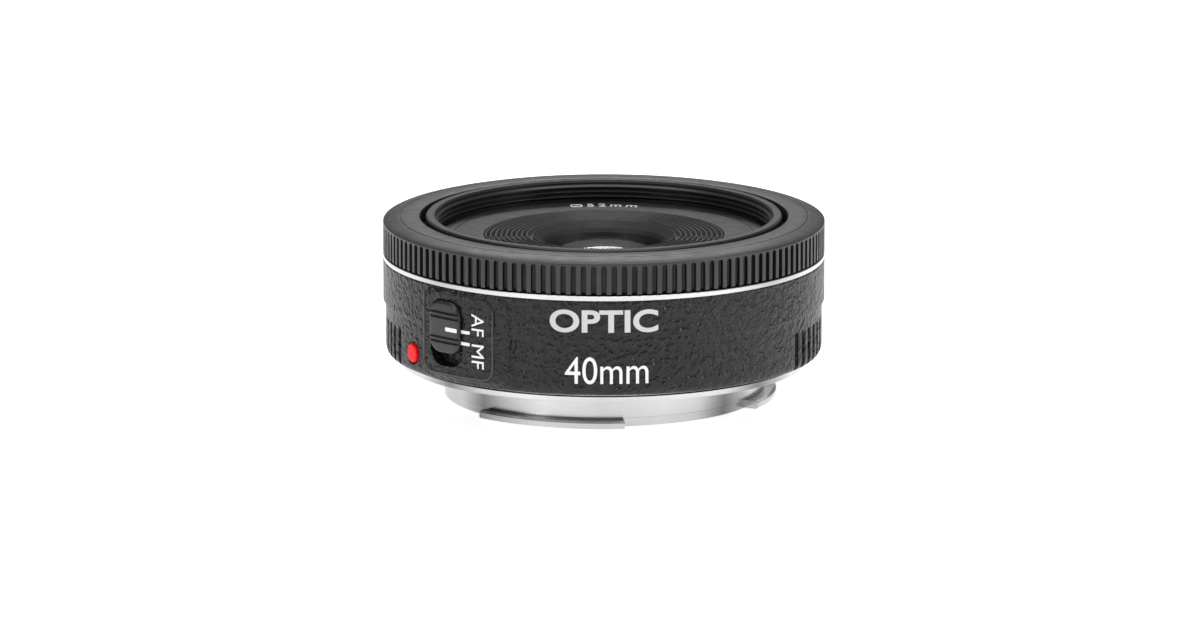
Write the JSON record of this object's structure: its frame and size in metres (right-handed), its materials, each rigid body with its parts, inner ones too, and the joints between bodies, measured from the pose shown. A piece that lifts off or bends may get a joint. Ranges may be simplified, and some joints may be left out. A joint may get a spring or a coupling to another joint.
{
  "type": "prime camera lens",
  "caption": "Slim single-focal-length camera lens standing on its bayonet, with a turning ribbed focus ring, an extending front barrel, a mode switch and a working iris.",
  "frame": {"origin": "centre of the bayonet flange's seating face", "axes": "+Z along the optical axis towards the subject (up as it stands), +Y towards the electrical contacts, -Y the side with the focal length lettering"},
  "size_m": [0.0682, 0.0682, 0.0282],
  "materials": {
    "matte_plastic_black": "fine-grained black moulded plastic",
    "ring_black": "ribbed black moulded plastic",
    "inner_black": "matt black anodised",
    "silver_trim": "satin silver",
    "mount_steel": "turned and polished metal",
    "fastener_steel": "plain steel",
    "gold_contact": "gold plated",
    "red_dot": "gloss red",
    "board_green": "solder-masked laminate",
    "chip_black": "moulded chip package",
    "brass_gear": "machined",
    "white_plastic": "acetal",
    "cam_metal": "anodised grey",
    "optical_glass": "coated, pale green",
    "blade_steel": "blackened spring steel",
    "motor_can": "drawn can"
  },
  "bodies": {
    "housing": {"bayonet_mount": "mount_steel", "mount_screws": "fastener_steel", "rear_cover": "matte_plastic_black", "contact_block": "chip_black", "contact_pins": "gold_contact", "contact_screws": "fastener_steel", "outer_barrel": "matte_plastic_black", "switch_plate": "matte_plastic_black", "index_dot": "red_dot", "trim_ring": "silver_trim", "guide_barrel": "inner_black", "cam_retaining_ring": "fastener_steel", "snap_ring": "fastener_steel", "circuit_board": "board_green", "board_chips": "chip_black", "ring_sensor": "chip_black", "gear_base_plate": "fastener_steel", "gear_bridge": "fastener_steel", "gear_shafts": "fastener_steel", "gearbox_screws": "fastener_steel", "focus_motor": "motor_can"},
    "cam": {"cam_ring": "cam_metal"},
    "idler": {"idler_gear": "white_plastic"},
    "reduction": {"reduction_gear": "white_plastic"},
    "motor_rotor": {"motor_pinion": "brass_gear"},
    "manual_ring": {"focus_ring": "ring_black", "encoder_strip": "chip_black"},
    "inner_barrel": {"front_barrel": "inner_black", "cell_carrier": "inner_black", "cam_followers": "brass_gear", "follower_screws": "fastener_steel", "name_ring": "matte_plastic_black", "ribbed_baffle": "matte_plastic_black", "front_retaining_ring": "inner_black", "front_cell": "inner_black", "lens_spacer": "inner_black", "lens_1": "optical_glass", "lens_2": "optical_glass", "lens_3": "optical_glass", "lens_4": "optical_glass", "lens_5": "optical_glass", "lens_6": "optical_glass", "rear_cell": "inner_black", "rear_retaining_ring": "inner_black", "aperture_base": "inner_black", "aperture_cover": "inner_black", "aperture_motor": "motor_can"},
    "iris_ring": {"aperture_ring": "white_plastic"},
    "iris_pinion": {"aperture_pinion": "brass_gear"},
    "mode_switch": {"switch_knob": "matte_plastic_black", "switch_brush": "gold_contact"},
    "iris_blade_1": {"blade_1": "blade_steel"},
    "iris_blade_2": {"blade_2": "blade_steel"},
    "iris_blade_3": {"blade_3": "blade_steel"},
    "iris_blade_4": {"blade_4": "blade_steel"},
    "iris_blade_5": {"blade_5": "blade_steel"},
    "iris_blade_6": {"blade_6": "blade_steel"},
    "iris_blade_7": {"blade_7": "blade_steel"}
  },
  "joints": [
    {"name": "cam_turn", "type": "hinge", "parent": "housing", "child": "cam", "pos_m": [0, 0, 0.0137], "axis": [0, 0, 1], "range_deg": [0, 100]},
    {"name": "barrel_extend", "type": "slide", "parent": "housing", "child": "inner_barrel", "axis": [0, 0, 1], "range_m": [0, 0.0072]},
    {"name": "idler_spin", "type": "hinge", "parent": "housing", "child": "idler", "pos_m": [0.0256, 0.00451, 0.0036], "axis": [0, 0, 1], "range_deg": [0, 750]},
    {"name": "reduction_spin", "type": "hinge", "parent": "housing", "child": "reduction", "pos_m": [0.01922, 0.00685, 0.0045], "axis": [0, 0, 1], "range_deg": [-1071.5, 0]},
    {"name": "motor_spin", "type": "hinge", "parent": "housing", "child": "motor_rotor", "pos_m": [0.0149, 0.01334, 0.0054], "axis": [0, 0, 1], "range_deg": [0, 2908.5]},
    {"name": "manual_ring_turn", "type": "hinge", "parent": "housing", "child": "manual_ring", "pos_m": [0, 0, 0.0194], "axis": [0, 0, 1], "continuous": true},
    {"name": "mode_switch_slide", "type": "slide", "parent": "housing", "child": "mode_switch", "axis": [0, 0, -1], "range_m": [0, 0.0018]},
    {"name": "iris_turn", "type": "hinge", "parent": "inner_barrel", "child": "iris_ring", "pos_m": [0, 0, 0.00595], "axis": [0, 0, -1], "range_deg": [0, 14]},
    {"name": "iris_pinion_spin", "type": "hinge", "parent": "inner_barrel", "child": "iris_pinion", "pos_m": [-0.01325, -0.00765, 0.00595], "axis": [0, 0, 1], "range_deg": [0, 105]},
    {"name": "blade_1_pivot", "type": "hinge", "parent": "inner_barrel", "child": "iris_blade_1", "pos_m": [0.0113, 0, 0.0077], "axis": [0, 0, 1], "range_deg": [0, 28]},
    {"name": "blade_2_pivot", "type": "hinge", "parent": "inner_barrel", "child": "iris_blade_2", "pos_m": [0.00705, 0.00883, 0.0077], "axis": [0, 0, 1], "range_deg": [0, 28]},
    {"name": "blade_3_pivot", "type": "hinge", "parent": "inner_barrel", "child": "iris_blade_3", "pos_m": [-0.00251, 0.01102, 0.0077], "axis": [0, 0, 1], "range_deg": [0, 28]},
    {"name": "blade_4_pivot", "type": "hinge", "parent": "inner_barrel", "child": "iris_blade_4", "pos_m": [-0.01018, 0.0049, 0.0077], "axis": [0, 0, 1], "range_deg": [0, 28]},
    {"name": "blade_5_pivot", "type": "hinge", "parent": "inner_barrel", "child": "iris_blade_5", "pos_m": [-0.01018, -0.0049, 0.0077], "axis": [0, 0, 1], "range_deg": [0, 28]},
    {"name": "blade_6_pivot", "type": "hinge", "parent": "inner_barrel", "child": "iris_blade_6", "pos_m": [-0.00251, -0.01102, 0.0077], "axis": [0, 0, 1], "range_deg": [0, 28]},
    {"name": "blade_7_pivot", "type": "hinge", "parent": "inner_barrel", "child": "iris_blade_7", "pos_m": [0.00705, -0.00883, 0.0077], "axis": [0, 0, 1], "range_deg": [0, 28]}
  ],
  "couplings": [
    {"joint": "barrel_extend", "follows": "cam_turn", "m_per_rad": 0.0041253},
    {"joint": "idler_spin", "follows": "cam_turn", "ratio": 7.5},
    {"joint": "reduction_spin", "follows": "cam_turn", "ratio": -10.714},
    {"joint": "motor_spin", "follows": "cam_turn", "ratio": 29.082},
    {"joint": "iris_pinion_spin", "follows": "iris_turn", "ratio": 7.5},
    {"joint": "blade_1_pivot", "follows": "iris_turn", "ratio": 2},
    {"joint": "blade_2_pivot", "follows": "iris_turn", "ratio": 2},
    {"joint": "blade_3_pivot", "follows": "iris_turn", "ratio": 2},
    {"joint": "blade_4_pivot", "follows": "iris_turn", "ratio": 2},
    {"joint": "blade_5_pivot", "follows": "iris_turn", "ratio": 2},
    {"joint": "blade_6_pivot", "follows": "iris_turn", "ratio": 2},
    {"joint": "blade_7_pivot", "follows": "iris_turn", "ratio": 2}
  ]
}
